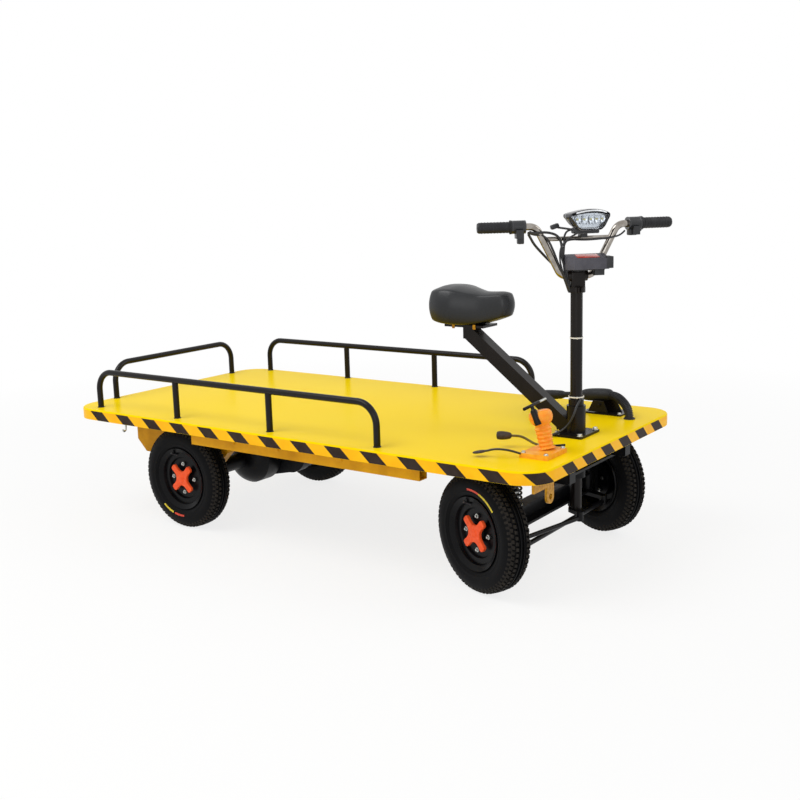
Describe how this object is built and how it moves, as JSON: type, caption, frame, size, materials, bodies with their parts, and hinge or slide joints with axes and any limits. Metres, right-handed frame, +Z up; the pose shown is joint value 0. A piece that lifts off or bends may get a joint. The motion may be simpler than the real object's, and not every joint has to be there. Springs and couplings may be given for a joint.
{
  "type": "electric platform truck",
  "caption": "Four-wheel electric platform truck with a flat deck, guard rails, saddle and handlebar steering.",
  "frame": {"origin": "on the ground, under the middle of the truck's outline", "axes": "+X forward, +Y to the truck's left, +Z up"},
  "size_m": [2.0807, 1, 1.149],
  "materials": {
    "deck_paint": "glossy yellow enamel",
    "frame_paint": "ochre enamel",
    "black_paint": "black powder coat",
    "rail_paint": "gloss black enamel",
    "hub_paint": "orange-red enamel",
    "axle_paint": "satin black enamel",
    "motor_case": "cast, dull",
    "chrome": "polished",
    "spring_steel": "satin black",
    "zinc_steel": "zinc plated",
    "tyre": "matte",
    "grip_rubber": "matte",
    "boot_rubber": "satin orange",
    "pedal_rubber": "matte",
    "black_plastic": "textured",
    "lamp_plastic": "gloss",
    "lamp_lens": "clear",
    "battery_case": "moulded",
    "saddle_vinyl": "smooth vinyl",
    "plate_paint": "orange enamel",
    "bracket_paint": "yellow passivated",
    "cable_sheath": "satin"
  },
  "bodies": {
    "chassis": {"deck_pan": "deck_paint", "crossmembers": "frame_paint", "main_rails": "frame_paint", "edge_tubes": "frame_paint", "rear_boxes": "frame_paint", "battery_box": "battery_case", "battery_cradle": "black_paint", "guard_right": "rail_paint", "guard_left": "rail_paint", "guard_rear": "rail_paint", "rear_axle": "axle_paint", "drive_motor": "motor_case", "front_axle_beam": "axle_paint", "front_dampers": "spring_steel", "column_housing": "black_paint", "steering_carrier": "black_paint", "seat_arm": "black_paint", "seat_bracket": "bracket_paint", "saddle": "saddle_vinyl", "pedal_plate": "plate_paint", "lever_boot": "boot_rubber", "lever_handle": "black_paint", "pedals": "black_paint", "brake_bracket": "black_paint", "brake_lever": "black_plastic", "tow_bracket": "bracket_paint", "deck_harness": "cable_sheath"},
    "steering": {"column_tube": "black_paint", "pitman_arm": "axle_paint", "stem_clamp": "black_paint", "handlebar": "chrome", "headlight_shell": "lamp_plastic", "headlight_lens": "lamp_lens", "meter_box": "black_plastic", "grips": "grip_rubber", "bar_switches": "black_plastic", "column_harness": "cable_sheath"},
    "knuckle_right": {"knuckle_right": "axle_paint"},
    "knuckle_left": {"knuckle_left": "axle_paint"},
    "tie_rod": {"tie_rod": "axle_paint"},
    "drag_link": {"drag_link": "axle_paint"},
    "wheel_front_right": {"tyre_front_right": "tyre", "rim_front_right": "black_paint", "hub_front_right": "hub_paint"},
    "wheel_front_left": {"tyre_front_left": "tyre", "rim_front_left": "black_paint", "hub_front_left": "hub_paint"},
    "wheel_rear_right": {"tyre_rear_right": "tyre", "rim_rear_right": "black_paint", "hub_rear_right": "hub_paint"},
    "wheel_rear_left": {"tyre_rear_left": "tyre", "rim_rear_left": "black_paint", "hub_rear_left": "hub_paint"}
  },
  "joints": [
    {"name": "steer", "type": "hinge", "parent": "chassis", "child": "steering", "pos_m": [0.8247, 0, 0.5], "axis": [0, 0, 1], "range_deg": [-3, 90]},
    {"name": "kingpin_right", "type": "hinge", "parent": "chassis", "child": "knuckle_right", "pos_m": [0.7177, -0.302, 0.187], "axis": [0, 0, 1], "range_deg": [-1.4, 40.1]},
    {"name": "kingpin_left", "type": "hinge", "parent": "chassis", "child": "knuckle_left", "pos_m": [0.7177, 0.302, 0.187], "axis": [0, 0, 1], "range_deg": [-1.4, 40.1]},
    {"name": "tie_rod_pivot", "type": "hinge", "parent": "knuckle_right", "child": "tie_rod", "pos_m": [0.79287, -0.32936, 0.1334], "axis": [0, 0, 1], "range_deg": [-40.1, 1.4]},
    {"name": "drag_link_pivot", "type": "hinge", "parent": "steering", "child": "drag_link", "pos_m": [0.85206, -0.02737, 0.164], "axis": [0, 0, 1], "range_deg": [-90.1, 3.1]},
    {"name": "front_wheel_right_spin", "type": "hinge", "parent": "knuckle_right", "child": "wheel_front_right", "pos_m": [0.69547, -0.36308, 0.187], "axis": [0.342, 0.9397, 0], "continuous": true},
    {"name": "rear_wheel_right_spin", "type": "hinge", "parent": "chassis", "child": "wheel_rear_right", "pos_m": [-0.5713, -0.367, 0.187], "axis": [0, 1, 0], "continuous": true},
    {"name": "front_wheel_left_spin", "type": "hinge", "parent": "knuckle_left", "child": "wheel_front_left", "pos_m": [0.73993, 0.36308, 0.187], "axis": [0.342, 0.9397, 0], "continuous": true},
    {"name": "rear_wheel_left_spin", "type": "hinge", "parent": "chassis", "child": "wheel_rear_left", "pos_m": [-0.5713, 0.367, 0.187], "axis": [0, 1, 0], "continuous": true}
  ],
  "couplings": [
    {"joint": "kingpin_right", "follows": "steer", "ratio": 0.44444},
    {"joint": "kingpin_left", "follows": "steer", "ratio": 0.44444},
    {"joint": "tie_rod_pivot", "follows": "steer", "ratio": -0.44444},
    {"joint": "drag_link_pivot", "follows": "steer", "ratio": -1}
  ]
}
